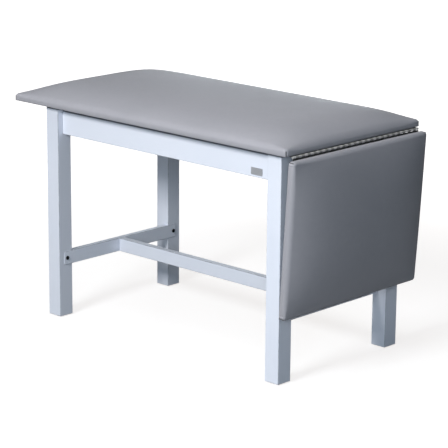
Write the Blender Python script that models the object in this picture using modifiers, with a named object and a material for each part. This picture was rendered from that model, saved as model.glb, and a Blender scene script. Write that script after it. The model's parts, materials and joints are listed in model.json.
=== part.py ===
"""Drop-leaf treatment table: laminate leg frame, padded top and a padded leaf on a piano hinge.

Units are metres, +Z is up and the floor is z = 0. +X runs along the table towards the drop leaf,
+Y runs towards the rear. The leaf hangs beside the right-hand legs in this rest position.
"""

from math import acos, atan2, cos, degrees, pi, radians, sin

import bmesh
import bpy
from mathutils import Matrix, Vector

# ---------------------------------------------------------------- driving dimensions
OVERALL_HEIGHT = 0.762
TOP_LENGTH = 1.168
TOP_WIDTH = 0.610
LEAF_LENGTH = 0.476
TOP_UNDERSIDE = 0.700
FRAME_LENGTH = 1.005          # over the outer faces of the legs
FRAME_WIDTH = 0.548
FRAME_CENTRE_X = 0.0112       # puts the whole table's box on the origin
RIGHT_OVERHANG = 0.044        # of the top past the right-hand legs

GAP = 0.0003                  # left between pieces that touch
RUN_OUT = 0.010               # of a cutter, past the face that it opens
LEAF_LEAN = radians(3.5)      # of the hanging leaf, its free end towards the legs
LEAF_SWING = pi / 2 + LEAF_LEAN

# frame timbers
LEG = 0.054
RAIL_THICKNESS = 0.020
RAIL_SETBACK = 0.0195         # of aprons and end rails behind the legs' outer faces
RAIL_BOTTOM = 0.607
BRACE_HEIGHT = 0.044
BRACE_BOTTOM = 0.174
BRACE_PROUD = 0.002           # of a cross-brace, past the leg face that it is let into
BRACE_END_SETBACK = 0.020
STRETCHER_THICKNESS = 0.022
BLOCK_HEIGHT = 0.050
BLOCK_REACH = 0.078           # of a corner block along the apron, from the leg
ARRIS = 0.0012                # softened edge of a laminated timber

# padded boards
BOARD_THICKNESS = 0.016
COVER_THICKNESS = 0.003       # vinyl and lining wrapped over a board's edges
EDGE_HEIGHT = 0.021           # padded thickness at the edges, board included
TOP_CROWN = OVERALL_HEIGHT - TOP_UNDERSIDE
LEAF_CROWN = 0.052
CROWN_RUN = 0.170             # distance over which the crown rises from an edge
CROWN_FULLNESS = 2.4          # a higher power rises faster at the edge
CUSHION_CELL = 0.060

# piano hinge
HINGE_END_GAP = 0.007         # from the pin to each cushion's end
PIN_DROP = 0.003              # of the pin below the boards' undersides
PIN_RADIUS = 0.00125
BORE_RADIUS = 0.0016
BARREL_RADIUS = 0.0032
PLATE_THICKNESS = 0.0015
PLATE_REACH = 0.038
KNUCKLE_PITCH = 0.0127
KNUCKLE_COUNT = 45
KNUCKLE_CLEARANCE = 0.0005
NOTCH_CLEARANCE = 0.0006      # round the other plate's barrel

# folding stays
STAY_BAR = 0.003              # thickness of arms and brackets
STAY_STEP = 0.005             # from one layer of a stay to the next
STAY_HALF_WIDTH = 0.009
STAY_FOOT = (-0.057, -0.450)  # leg pivot, from the hinge pin, along X and Z
STAY_REACH = 0.410            # leaf pivot, from the hinge pin, along the leaf
STAY_DEPTH = 0.009            # leaf pivot, under the level of the hinge pin
STAY_ARM_DIFFERENCE = 0.041   # the lower arm is longer by this
RIVET_RADIUS = 0.004
RIVET_HEAD_RADIUS = 0.0065
RIVET_HEAD = 0.0012
HOLE_CLEARANCE = 0.0003
FRAME_BRACKET_X = (-0.037, 0.011)      # ends of the leg bracket, from its pivot
FRAME_BRACKET_Z = (-0.014, 0.046)
LEAF_BRACKET_FOOT = 0.026              # its screwed flange, across the leaf
LEAF_BRACKET_LENGTH = 0.032
BRACKET_ARRIS = 0.0008

# fasteners and feet
BOLT_RADIUS = 0.003
BOLT_HEAD_RADIUS = 0.0065
BOLT_HEAD = 0.0025
BRACE_BOLT_LENGTH = 0.045
BRACE_BOLT_INSET = 0.0315     # from a leg's outer face
CORNER_BOLT_LENGTH = 0.070
TOP_SCREW_LENGTH = 0.060
TOP_SCREW_OFFSET = (-0.0415, -0.001)   # from the inner corner of the leg, along X and Y
STRETCHER_SCREW_LENGTH = 0.062
STRETCHER_SCREW_SPREAD = 0.022
GLIDE_RADIUS = 0.013
GLIDE_HEIGHT = 0.003
GLIDE_STEM = 0.012
GLIDE_TACK_RADIUS = 0.0015
GLIDE_CHAMFER = 0.001
BADGE_SIZE = (0.045, 0.0012, 0.022)
BADGE_ARRIS = 0.0004
BADGE_CENTRE = (0.390, 0.625)          # X from the frame's centre, and Z

# ---------------------------------------------------------------- derived places
LEG_TOP = TOP_UNDERSIDE - GAP
HALF_X = FRAME_LENGTH / 2
HALF_Y = FRAME_WIDTH / 2
LEG_INNER_X = HALF_X - LEG
LEG_INNER_Y = HALF_Y - LEG
RAIL_FACE_X = HALF_X - RAIL_SETBACK
RAIL_FACE_Y = HALF_Y - RAIL_SETBACK
BRACE_CENTRE_Z = BRACE_BOTTOM + BRACE_HEIGHT / 2
BRACE_FACE_X = LEG_INNER_X - BRACE_PROUD
BRACE_HALF_Y = HALF_Y - BRACE_END_SETBACK
TOP_RIGHT = HALF_X + RIGHT_OVERHANG
TOP_LEFT = TOP_RIGHT - TOP_LENGTH
PIN = Vector((TOP_RIGHT + HINGE_END_GAP, 0, TOP_UNDERSIDE - PIN_DROP))
SIDES = {"front": -1, "rear": 1}
ENDS = {"left": -1, "right": 1}

# ---------------------------------------------------------------- colours
LAMINATE = ((0.72, 0.76, 0.83), 0.45, 0.0)
HARDWOOD = ((0.62, 0.47, 0.30), 0.60, 0.0)
BOARD = ((0.11, 0.115, 0.12), 0.75, 0.0)
VINYL = ((0.33, 0.33, 0.35), 0.50, 0.0)
BRIGHT_STEEL = ((0.72, 0.71, 0.68), 0.28, 1.0)
ZINC_STEEL = ((0.62, 0.63, 0.64), 0.38, 1.0)
BLACK_STEEL = ((0.03, 0.03, 0.035), 0.40, 1.0)
NYLON = ((0.10, 0.10, 0.11), 0.55, 0.0)
BADGE_PLATE = ((0.80, 0.81, 0.84), 0.35, 0.0)

# ---------------------------------------------------------------- scene helpers
for old in list(bpy.data.objects):
    bpy.data.objects.remove(old, do_unlink=True)

parts = bpy.data.collections.new("drop_leaf_treatment_table")
cutters = bpy.data.collections.new("cutters")
for collection in (parts, cutters):
    bpy.context.scene.collection.children.link(collection)


def empty(name, location, parent=None):
    """An empty that pieces are placed under, at a place given in its parent's frame."""
    marker = bpy.data.objects.new(name, None)
    marker.location = location
    marker.parent = parent
    parts.objects.link(marker)
    return marker


table = empty("table_centre", (FRAME_CENTRE_X, 0, 0))
hanging_leaf = empty("leaf_on_its_hinge", PIN, table)
hanging_leaf.rotation_euler = (0, LEAF_SWING, 0)


def paint(piece, look):
    """Gives a piece a Principled material of its own."""
    colour, roughness, metallic = look
    surface = bpy.data.materials.new(piece.name + "_material")
    surface.use_nodes = True
    shader = surface.node_tree.nodes["Principled BSDF"]
    shader.inputs["Base Color"].default_value = (*colour, 1)
    shader.inputs["Roughness"].default_value = roughness
    shader.inputs["Metallic"].default_value = metallic
    piece.data.materials.append(surface)


def place(piece, location=(0, 0, 0), look=None, parent=None, collection=parts):
    """Links an object where it belongs; a cutter has no look."""
    piece.location = location
    piece.parent = parent or table
    collection.objects.link(piece)
    if look:
        paint(piece, look)
    else:
        piece.hide_render = True
        piece.display_type = "WIRE"
    return piece


def box_mesh(name, size):
    """A box centred on its own origin."""
    shape = bmesh.new()
    bmesh.ops.create_cube(shape, size=1, matrix=Matrix.Diagonal((*size, 1)))
    mesh = bpy.data.meshes.new(name)
    shape.to_mesh(mesh)
    shape.free()
    return mesh


def soften(piece, width, segments=1):
    """Rounds the sharp edges of a piece."""
    bevel = piece.modifiers.new("soft_edges", "BEVEL")
    bevel.width = width
    bevel.segments = segments
    bevel.limit_method = "ANGLE"


def box(name, low, high, look, soft=ARRIS, parent=None):
    """A box between two corners."""
    low, high = Vector(low), Vector(high)
    piece = bpy.data.objects.new(name, box_mesh(name, high - low))
    place(piece, (low + high) / 2, look, parent)
    if soft:
        soften(piece, soft)
    return piece


def box_cutter(name, low, high, parent=None):
    """A box that is cut away from its neighbours."""
    low, high = Vector(low), Vector(high)
    piece = bpy.data.objects.new(name, box_mesh(name, high - low))
    return place(piece, (low + high) / 2, None, parent, cutters)


def aim(piece, direction):
    """Turns a piece so that its own Z axis points along a direction."""
    piece.rotation_euler = Vector(direction).to_track_quat("Z", "Y").to_euler()
    return piece


def rod_cutter(name, radius, start, direction, length, parent=None, sides=12):
    """A cylinder for a bore, from its start along a direction."""
    shape = bmesh.new()
    centre = Matrix.Translation((0, 0, length / 2))
    bmesh.ops.create_cone(shape, cap_ends=True, segments=sides, radius1=radius, radius2=radius,
                          depth=length, matrix=centre)
    mesh = bpy.data.meshes.new(name)
    shape.to_mesh(mesh)
    shape.free()
    return aim(place(bpy.data.objects.new(name, mesh), start, None, parent, cutters), direction)


def cut(piece, cutter):
    """Takes a cutter away from a piece."""
    boolean = piece.modifiers.new(cutter.name, "BOOLEAN")
    boolean.operation = "DIFFERENCE"
    boolean.solver = "EXACT"
    boolean.object = cutter


def turned(name, profile, place_at, direction, look, parent=None, steps=16):
    """A solid of revolution; its profile runs from top to bottom as (radius, height)."""
    mesh = bpy.data.meshes.new(name)
    points = [(radius, 0, height) for radius, height in profile]
    mesh.from_pydata(points, [(i, i + 1) for i in range(len(points) - 1)], [])
    piece = place(bpy.data.objects.new(name, mesh), place_at, look, parent)
    aim(piece, direction)
    screw = piece.modifiers.new("turn", "SCREW")
    screw.angle = 2 * pi
    screw.steps = steps
    screw.render_steps = steps
    screw.use_merge_vertices = True
    screw.merge_threshold = 0.00001
    screw.use_smooth_shade = True
    return piece


def headed(name, at, direction, length, look, steps=12):
    """A bolt with a socket in its head; its shank runs against the direction, from a face."""
    head, shank = BOLT_HEAD_RADIUS, BOLT_RADIUS
    socket, floor, rim = head * 0.55, BOLT_HEAD * 0.4, BOLT_HEAD * 0.6
    profile = [(0, floor), (socket, floor), (socket, BOLT_HEAD), (head * 0.86, BOLT_HEAD), (head, rim),
               (head, 0), (shank, 0), (shank, -length), (0, -length)]
    return turned(name, profile, at, direction, look, steps=steps)


def bore_for(name, at, direction, length):
    """The hole that a bolt's shank sits in, a little wider and deeper than it."""
    past_face = 0.002
    start = Vector(at) + Vector(direction).normalized() * past_face
    return rod_cutter(name, BOLT_RADIUS + GAP, start, -Vector(direction), length + past_face + GAP)


def outline_object(name, outlines, half_thickness):
    """A flat 2D curve, extruded both ways along its own Z axis, made into a mesh object."""
    curve = bpy.data.curves.new(name, "CURVE")
    curve.dimensions = "2D"
    curve.fill_mode = "BOTH"
    curve.extrude = half_thickness
    for points in outlines:
        spline = curve.splines.new("POLY")
        spline.points.add(len(points) - 1)
        for point, (x, y) in zip(spline.points, points):
            point.co = (x, y, 0, 1)
        spline.use_cyclic_u = True
    guide = bpy.data.objects.new(name + "_outline", curve)
    parts.objects.link(guide)
    evaluated = guide.evaluated_get(bpy.context.evaluated_depsgraph_get())
    mesh = bpy.data.meshes.new_from_object(evaluated)
    bpy.data.objects.remove(guide, do_unlink=True)
    shape = bmesh.new()
    shape.from_mesh(mesh)
    bmesh.ops.remove_doubles(shape, verts=shape.verts, dist=0.00001)
    bmesh.ops.recalc_face_normals(shape, faces=shape.faces)
    shape.to_mesh(mesh)
    shape.free()
    mesh.name = name
    return bpy.data.objects.new(name, mesh)


def arc(centre, radius, start, end, steps):
    """Points along an arc, in degrees, both ends included."""
    turn = (end - start) / steps
    angles = [radians(start + turn * i) for i in range(steps + 1)]
    return [(centre[0] + radius * cos(a), centre[1] + radius * sin(a)) for a in angles]


def stand_up(piece):
    """Turns a flat outline so that its x, y and thickness run along X, Z and Y."""
    piece.rotation_euler = (pi / 2, 0, 0)
    return piece


# ---------------------------------------------------------------- leg frame
def mirrored_box(name, low, high, x_sign, y_sign, look=LAMINATE, soft=ARRIS):
    """A box given for the right rear quarter of the frame, moved to another quarter."""
    xs = sorted((low[0] * x_sign, high[0] * x_sign))
    ys = sorted((low[1] * y_sign, high[1] * y_sign))
    return box(name, (xs[0], ys[0], low[2]), (xs[1], ys[1], high[2]), look, soft)


def build_leg(side, end):
    """A square leg with a housing for the cross-brace."""
    x_sign, y_sign = ENDS[end], SIDES[side]
    leg = mirrored_box(f"leg_{side}_{end}", (LEG_INNER_X, LEG_INNER_Y, GLIDE_HEIGHT + GAP),
                       (HALF_X, HALF_Y, LEG_TOP), x_sign, y_sign)
    depth = RAIL_THICKNESS - BRACE_PROUD + GAP
    xs = sorted((x_sign * (LEG_INNER_X + depth), x_sign * (LEG_INNER_X - RUN_OUT)))
    ys = sorted((y_sign * (LEG_INNER_Y - RUN_OUT), y_sign * (BRACE_HALF_Y + GAP)))
    housing = box_cutter(f"housing_{side}_{end}", (xs[0], ys[0], BRACE_BOTTOM - GAP),
                         (xs[1], ys[1], BRACE_BOTTOM + BRACE_HEIGHT + GAP))
    cut(leg, housing)
    return leg


def build_frame():
    """Legs, rails, braces and stretcher, with their fasteners; returns the holes into the top."""
    legs = {(side, end): build_leg(side, end) for side in SIDES for end in ENDS}
    braces = {}
    for side, y_sign in SIDES.items():
        mirrored_box(f"apron_{side}", (-LEG_INNER_X + GAP, RAIL_FACE_Y - RAIL_THICKNESS, RAIL_BOTTOM),
                     (LEG_INNER_X - GAP, RAIL_FACE_Y, LEG_TOP), 1, y_sign)
    for end, x_sign in ENDS.items():
        mirrored_box(f"end_rail_{end}", (RAIL_FACE_X - RAIL_THICKNESS, -LEG_INNER_Y + GAP, RAIL_BOTTOM),
                     (RAIL_FACE_X, LEG_INNER_Y - GAP, LEG_TOP), x_sign, 1)
        braces[end] = mirrored_box(f"cross_brace_{end}", (BRACE_FACE_X, -BRACE_HALF_Y, BRACE_BOTTOM),
                                   (BRACE_FACE_X + RAIL_THICKNESS, BRACE_HALF_Y,
                                    BRACE_BOTTOM + BRACE_HEIGHT), x_sign, 1)
    half = BRACE_FACE_X - GAP
    stretcher = box("stretcher", (-half, -STRETCHER_THICKNESS / 2, BRACE_BOTTOM),
                    (half, STRETCHER_THICKNESS / 2, BRACE_BOTTOM + BRACE_HEIGHT), LAMINATE)
    fasten_braces(legs, braces, stretcher)
    for (side, end), leg in legs.items():
        add_glide(leg, side, end)
    return fasten_corners(legs)


def fasten_braces(legs, braces, stretcher):
    """Bolts from each cross-brace into its legs, and screws into the stretcher's ends."""
    for (side, end), leg in legs.items():
        x_sign, y_sign = ENDS[end], SIDES[side]
        face = (x_sign * (BRACE_FACE_X - GAP), y_sign * (HALF_Y - BRACE_BOLT_INSET), BRACE_CENTRE_Z)
        inward = (-x_sign, 0, 0)
        headed(f"brace_bolt_{side}_{end}", face, inward, BRACE_BOLT_LENGTH, BLACK_STEEL, steps=20)
        bore = bore_for(f"brace_bore_{side}_{end}", face, inward, BRACE_BOLT_LENGTH)
        cut(leg, bore)
        cut(braces[end], bore)
    for end, x_sign in ENDS.items():
        for level, z_sign in (("upper", 1), ("lower", -1)):
            face = (x_sign * (BRACE_FACE_X + RAIL_THICKNESS + GAP), 0,
                    BRACE_CENTRE_Z + z_sign * STRETCHER_SCREW_SPREAD / 2)
            outward = (x_sign, 0, 0)
            headed(f"stretcher_screw_{end}_{level}", face, outward, STRETCHER_SCREW_LENGTH, ZINC_STEEL)
            bore = bore_for(f"stretcher_bore_{end}_{level}", face, outward, STRETCHER_SCREW_LENGTH)
            cut(braces[end], bore)
            cut(stretcher, bore)


def block_outline(x_sign, y_sign):
    """A corner block seen from above: a wedge behind the leg, its long face across the corner."""
    apron = RAIL_FACE_Y - RAIL_THICKNESS - GAP
    rail = RAIL_FACE_X - RAIL_THICKNESS - GAP
    start = LEG_INNER_X - GAP - BLOCK_REACH
    across = rail - start
    outline = [(LEG_INNER_X - GAP, apron), (start, apron), (rail, apron - across),
               (rail, LEG_INNER_Y - GAP), (LEG_INNER_X - GAP, LEG_INNER_Y - GAP)]
    return [(x * x_sign, y * y_sign) for x, y in outline], start + apron


def fasten_corners(legs):
    """Corner blocks, each with a diagonal bolt into its leg and a screw up into the top."""
    middle = LEG_TOP - BLOCK_HEIGHT / 2
    top_holes = []
    for (side, end), leg in legs.items():
        x_sign, y_sign = ENDS[end], SIDES[side]
        outline, face_sum = block_outline(x_sign, y_sign)
        block = outline_object(f"corner_block_{side}_{end}", [outline], BLOCK_HEIGHT / 2)
        place(block, (0, 0, middle), HARDWOOD)
        difference = LEG_INNER_X - LEG_INNER_Y
        face = (x_sign * ((face_sum + difference) / 2 - GAP), y_sign * ((face_sum - difference) / 2 - GAP),
                middle)
        inward = (-x_sign, -y_sign, 0)
        headed(f"corner_bolt_{side}_{end}", face, inward, CORNER_BOLT_LENGTH, ZINC_STEEL)
        bore = bore_for(f"corner_bore_{side}_{end}", face, inward, CORNER_BOLT_LENGTH)
        cut(leg, bore)
        cut(block, bore)
        dx, dy = TOP_SCREW_OFFSET
        under = (x_sign * (LEG_INNER_X + dx), y_sign * (LEG_INNER_Y + dy), LEG_TOP - BLOCK_HEIGHT - GAP)
        headed(f"top_screw_{side}_{end}", under, (0, 0, -1), TOP_SCREW_LENGTH, ZINC_STEEL)
        hole = bore_for(f"top_bore_{side}_{end}", under, (0, 0, -1), TOP_SCREW_LENGTH)
        cut(block, hole)
        top_holes.append(hole)
    return top_holes


def add_glide(leg, side, end):
    """A tack glide under a leg."""
    x, y = ENDS[end] * (HALF_X - LEG / 2), SIDES[side] * (HALF_Y - LEG / 2)
    tack, tip, rim = GLIDE_TACK_RADIUS, GLIDE_HEIGHT + GLIDE_STEM, GLIDE_RADIUS - GLIDE_CHAMFER
    profile = [(0, tip), (tack, tip), (tack, GLIDE_HEIGHT), (rim, GLIDE_HEIGHT),
               (GLIDE_RADIUS, GLIDE_HEIGHT / 2), (rim, 0), (0, 0)]
    turned(f"glide_{side}_{end}", profile, (x, y, 0), (0, 0, 1), NYLON, steps=20)
    hole = rod_cutter(f"glide_hole_{side}_{end}", tack + GAP, (x, y, 0), (0, 0, 1), tip + GAP)
    cut(leg, hole)


def add_badge():
    """The small plain plate on the front apron."""
    x, z = BADGE_CENTRE
    width, thickness, height = BADGE_SIZE
    face = -RAIL_FACE_Y - GAP
    box("name_badge", (x - width / 2, face - thickness, z - height / 2),
        (x + width / 2, face, z + height / 2), BADGE_PLATE, BADGE_ARRIS)


# ---------------------------------------------------------------- padded boards
def crown(x, y, length, rise):
    """Height of the padding above its edge, at a place on a cushion centred on 0, 0."""
    def ramp(distance):
        return 1 - max(0.0, 1 - distance / CROWN_RUN) ** CROWN_FULLNESS
    return rise * ramp(length / 2 - abs(x)) * ramp(TOP_WIDTH / 2 - abs(y))


def padded_board(stem, length, crown_height, start, level, parent=None):
    """A board and the padding that is wrapped over its edges; start is the low end along X."""
    middle = start + length / 2
    half_y = TOP_WIDTH / 2
    inset = COVER_THICKNESS
    panel = box(f"{stem}_panel", (start + inset, -half_y + inset, level),
                (start + length - inset, half_y - inset, level + BOARD_THICKNESS), BOARD, 0, parent)
    shape = bmesh.new()
    cells_x, cells_y = round(length / CUSHION_CELL), round(TOP_WIDTH / CUSHION_CELL)
    bmesh.ops.create_grid(shape, x_segments=cells_x, y_segments=cells_y, size=0.5,
                          matrix=Matrix.Diagonal((length, TOP_WIDTH, 1, 1)))
    upper = list(shape.verts)
    skirt = bmesh.ops.extrude_face_region(shape, geom=list(shape.faces))
    lower = [item for item in skirt["geom"] if isinstance(item, bmesh.types.BMVert)]
    for vert in upper:
        vert.co.z = EDGE_HEIGHT + crown(vert.co.x, vert.co.y, length, crown_height - EDGE_HEIGHT)
    for vert in lower:
        vert.co.z = 0
    bmesh.ops.recalc_face_normals(shape, faces=shape.faces)
    mesh = bpy.data.meshes.new(f"{stem}_cushion")
    shape.to_mesh(mesh)
    shape.free()
    mesh.shade_smooth()
    mesh.set_sharp_from_angle(angle=radians(40))
    cushion = place(bpy.data.objects.new(f"{stem}_cushion", mesh), (middle, 0, level), VINYL, parent)
    edge = inset - GAP
    pocket = box_cutter(f"{stem}_pocket", (start + edge, -half_y + edge, level - RUN_OUT),
                        (start + length - edge, half_y - edge, level + BOARD_THICKNESS + GAP), parent)
    cut(cushion, pocket)
    return panel


# ---------------------------------------------------------------- piano hinge
def hinge_outline():
    """Barrel and plate in one outline: the plate lies along +x, above the pin."""
    low = PIN_DROP - GAP - PLATE_THICKNESS
    high = PIN_DROP - GAP
    start = degrees(atan2(high, (BARREL_RADIUS ** 2 - high ** 2) ** 0.5))
    end = 360 + degrees(atan2(low, (BARREL_RADIUS ** 2 - low ** 2) ** 0.5))
    barrel = arc((0, 0), BARREL_RADIUS, start, end, 12)
    return barrel + [(PLATE_REACH, low), (PLATE_REACH, high)]


def build_hinge_plate(name, direction, parent, location, first_notch):
    """One plate of the hinge, notched where the other plate's knuckles turn."""
    outline = [(x * direction, y) for x, y in hinge_outline()]
    bore = arc((0, 0), BORE_RADIUS, 0, 324, 9)
    length = KNUCKLE_PITCH * KNUCKLE_COUNT
    plate = outline_object(name, [outline, bore], length / 2 - GAP)
    plate.data.shade_smooth()
    plate.data.set_sharp_from_angle(angle=radians(40))
    stand_up(place(plate, location, BRIGHT_STEEL, parent))
    shape = bmesh.new()
    reach = BARREL_RADIUS + NOTCH_CLEARANCE
    width = KNUCKLE_PITCH + KNUCKLE_CLEARANCE
    for index in range(first_notch, KNUCKLE_COUNT, 2):
        y = -length / 2 + KNUCKLE_PITCH * (index + 0.5)
        low, high = y - width / 2, y + width / 2
        low = low - RUN_OUT if index == 0 else low
        high = high + RUN_OUT if index == KNUCKLE_COUNT - 1 else high
        notch = Matrix.Translation((0, (low + high) / 2, 0))
        notch = notch @ Matrix.Diagonal((2 * reach, high - low, 2 * reach, 1))
        bmesh.ops.create_cube(shape, size=1, matrix=notch)
    mesh = bpy.data.meshes.new(f"{name}_notches")
    shape.to_mesh(mesh)
    shape.free()
    notches = bpy.data.objects.new(f"{name}_notches", mesh)
    place(notches, location, None, parent, cutters)
    cut(plate, notches)


def build_hinge():
    """Both plates and the pin."""
    build_hinge_plate("hinge_plate_top", -1, table, PIN, 1)
    build_hinge_plate("hinge_plate_leaf", 1, hanging_leaf, (0, 0, 0), 0)
    half = KNUCKLE_PITCH * KNUCKLE_COUNT / 2
    profile = [(0, half), (PIN_RADIUS, half), (PIN_RADIUS, -half), (0, -half)]
    turned("hinge_pin", profile, PIN, (0, 1, 0), BRIGHT_STEEL, steps=12)


# ---------------------------------------------------------------- folding stays
def leaf_point(along, above, swing):
    """A place on the leaf, from the pin, once the leaf has swung down by an angle."""
    return Vector((along * cos(swing) + above * sin(swing), above * cos(swing) - along * sin(swing)))


def stay_geometry():
    """Arm lengths from the straight stay, and the knee's place when the stay is folded."""
    foot = Vector(STAY_FOOT)
    straight = (leaf_point(STAY_REACH, -STAY_DEPTH, 0) - foot).length
    lower = (straight + STAY_ARM_DIFFERENCE) / 2
    upper = (straight - STAY_ARM_DIFFERENCE) / 2
    shoulder = leaf_point(STAY_REACH, -STAY_DEPTH, LEAF_SWING)
    base = shoulder - foot
    bearing = atan2(base.y, base.x)
    opening = acos((lower ** 2 + base.length_squared - upper ** 2) / (2 * lower * base.length))
    raised = bearing + opening
    knee = foot + lower * Vector((cos(raised), sin(raised)))
    return foot, shoulder, knee, lower, upper


def stay_layer(index, y_sign):
    """Y of the middle of one layer of a stay, counted from the leg inwards."""
    return y_sign * (LEG_INNER_Y - GAP - STAY_BAR / 2 - index * STAY_STEP)


def from_pin(point, y):
    """A place in the table's frame from a place in X and Z that starts at the hinge pin."""
    return Vector((PIN.x + point[0], y, PIN.z + point[1]))


def stay_arm(name, length, pivot, tip, y):
    """A flat arm with round ends and two holes; its origin is on its pivot."""
    width = STAY_HALF_WIDTH
    outline = arc((length, 0), width, -90, 90, 8) + arc((0, 0), width, 90, 270, 8)
    hole = RIVET_RADIUS + HOLE_CLEARANCE
    holes = [arc((x, 0), hole, 0, 337.5, 15) for x in (0, length)]
    arm = outline_object(name, [outline] + holes, STAY_BAR / 2)
    place(arm, from_pin(pivot, y), ZINC_STEEL)
    direction = Vector(tip) - Vector(pivot)
    arm.rotation_euler = (pi / 2, -atan2(direction.y, direction.x), 0)
    return arm


def rivet(name, at, y_sign, inner, outer, inner_head=True, outer_head=True, parent=None):
    """A rivet along Y, between two distances from the table's centre line."""
    middle = (inner + outer) / 2
    half = (outer - inner) / 2
    head = RIVET_HEAD_RADIUS
    profile = [(0, half)]
    if outer_head:
        profile = [(0, half + RIVET_HEAD), (head * 0.8, half + RIVET_HEAD), (head, half + RIVET_HEAD / 2),
                   (head, half)]
    profile += [(RIVET_RADIUS, half), (RIVET_RADIUS, -half)]
    if inner_head:
        profile += [(head, -half), (head, -half - RIVET_HEAD / 2), (head * 0.8, -half - RIVET_HEAD),
                    (0, -half - RIVET_HEAD)]
    else:
        profile += [(0, -half)]
    turned(name, profile, (at[0], y_sign * middle, at[1]), (0, y_sign, 0), ZINC_STEEL, parent)


def build_stay(side):
    """One folding stay: leg bracket, two arms, leaf bracket and three rivets."""
    y_sign = SIDES[side]
    foot, shoulder, knee, lower, upper = stay_geometry()
    layers = [abs(stay_layer(index, 1)) for index in range(4)]
    half = STAY_BAR / 2
    hole = RIVET_RADIUS + HOLE_CLEARANCE

    bracket_y = y_sign * layers[0]
    low = from_pin((foot.x + FRAME_BRACKET_X[0], foot.y + FRAME_BRACKET_Z[0]), bracket_y - half)
    high = from_pin((foot.x + FRAME_BRACKET_X[1], foot.y + FRAME_BRACKET_Z[1]), bracket_y + half)
    bracket = box(f"stay_frame_bracket_{side}", low, high, ZINC_STEEL, BRACKET_ARRIS)
    pivot_bore = rod_cutter(f"foot_bore_{side}", hole, from_pin(foot, bracket_y - STAY_BAR), (0, 1, 0),
                            2 * STAY_BAR)
    cut(bracket, pivot_bore)

    stay_arm(f"stay_lower_arm_{side}", lower, foot, knee, y_sign * layers[1])
    stay_arm(f"stay_upper_arm_{side}", upper, shoulder, knee, y_sign * layers[2])

    foot_at = (PIN.x + foot.x, PIN.z + foot.y)
    knee_at = (PIN.x + knee.x, PIN.z + knee.y)
    rivet(f"stay_foot_rivet_{side}", foot_at, y_sign, layers[1] - half - GAP, layers[0] + half,
          outer_head=False)
    rivet(f"stay_knee_rivet_{side}", knee_at, y_sign, layers[1] - half - GAP, layers[1] + half + GAP,
          inner_head=False)
    rivet(f"stay_leaf_rivet_{side}", (STAY_REACH, -STAY_DEPTH), y_sign, layers[3] - half - GAP,
          layers[2] + half + GAP, parent=hanging_leaf)

    outer = layers[3] + half
    back = PIN_DROP - GAP
    inner = outer - LEAF_BRACKET_FOOT
    profile = [(outer, back), (inner, back), (inner, back - STAY_BAR),
               (outer - STAY_BAR, back - STAY_BAR), (outer - STAY_BAR, -2 * STAY_DEPTH),
               (outer, -2 * STAY_DEPTH)]
    outline = [(y * y_sign, z) for y, z in profile]
    bracket = outline_object(f"stay_leaf_bracket_{side}", [outline], LEAF_BRACKET_LENGTH / 2)
    place(bracket, (STAY_REACH, 0, 0), ZINC_STEEL, hanging_leaf)
    bracket.rotation_euler = (pi / 2, 0, pi / 2)
    bore_start = (STAY_REACH, y_sign * layers[3] - STAY_BAR, -STAY_DEPTH)
    leaf_bore = rod_cutter(f"leaf_bore_{side}", hole, bore_start, (0, 1, 0), 2 * STAY_BAR, hanging_leaf)
    cut(bracket, leaf_bore)


# ---------------------------------------------------------------- the table
holes_into_top = build_frame()
add_badge()
top_panel = padded_board("top", TOP_LENGTH, TOP_CROWN, TOP_LEFT, TOP_UNDERSIDE)
for top_hole in holes_into_top:
    cut(top_panel, top_hole)
padded_board("leaf", LEAF_LENGTH, LEAF_CROWN, HINGE_END_GAP, PIN_DROP, hanging_leaf)
build_hinge()
for stay_side in SIDES:
    build_stay(stay_side)
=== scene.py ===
"""Looks of the drop-leaf treatment table: vinyl covers, laminate, wood, steel, lights and camera.

Units are metres, +Z is up, +X runs towards the drop leaf and +Y towards the rear.
"""

import json
from math import cos, exp, pi, radians, sin, sqrt

import bmesh
import bpy
from mathutils import Matrix, Vector


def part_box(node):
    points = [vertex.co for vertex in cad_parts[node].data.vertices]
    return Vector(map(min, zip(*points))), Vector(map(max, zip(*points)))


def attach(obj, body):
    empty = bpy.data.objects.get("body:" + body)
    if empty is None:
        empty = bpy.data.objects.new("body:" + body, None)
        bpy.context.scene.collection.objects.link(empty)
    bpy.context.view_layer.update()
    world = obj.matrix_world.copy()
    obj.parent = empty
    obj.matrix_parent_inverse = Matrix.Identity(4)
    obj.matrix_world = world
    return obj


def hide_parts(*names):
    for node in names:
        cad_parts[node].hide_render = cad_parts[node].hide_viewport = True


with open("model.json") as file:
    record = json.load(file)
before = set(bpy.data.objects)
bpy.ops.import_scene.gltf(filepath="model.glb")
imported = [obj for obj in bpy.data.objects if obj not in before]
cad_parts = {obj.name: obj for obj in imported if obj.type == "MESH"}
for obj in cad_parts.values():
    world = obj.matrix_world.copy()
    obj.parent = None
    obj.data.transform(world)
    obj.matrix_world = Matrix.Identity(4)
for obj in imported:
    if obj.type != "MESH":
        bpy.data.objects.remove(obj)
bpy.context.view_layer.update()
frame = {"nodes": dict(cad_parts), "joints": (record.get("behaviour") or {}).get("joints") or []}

NODES = frame["nodes"]
LEAF_JOINT = next(joint for joint in frame["joints"] if joint["name"] == "leaf_hinge")
PIN = Vector(LEAF_JOINT["pos_m"])
LEAF_SWING = radians(LEAF_JOINT["range_deg"][1])
# the hanging leaf's own axes: origin on the pin, +X down the leaf, +Z out of its padded face
LEAF_AXES = Matrix.Translation(PIN) @ Matrix.Rotation(LEAF_SWING, 4, "Y")


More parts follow.
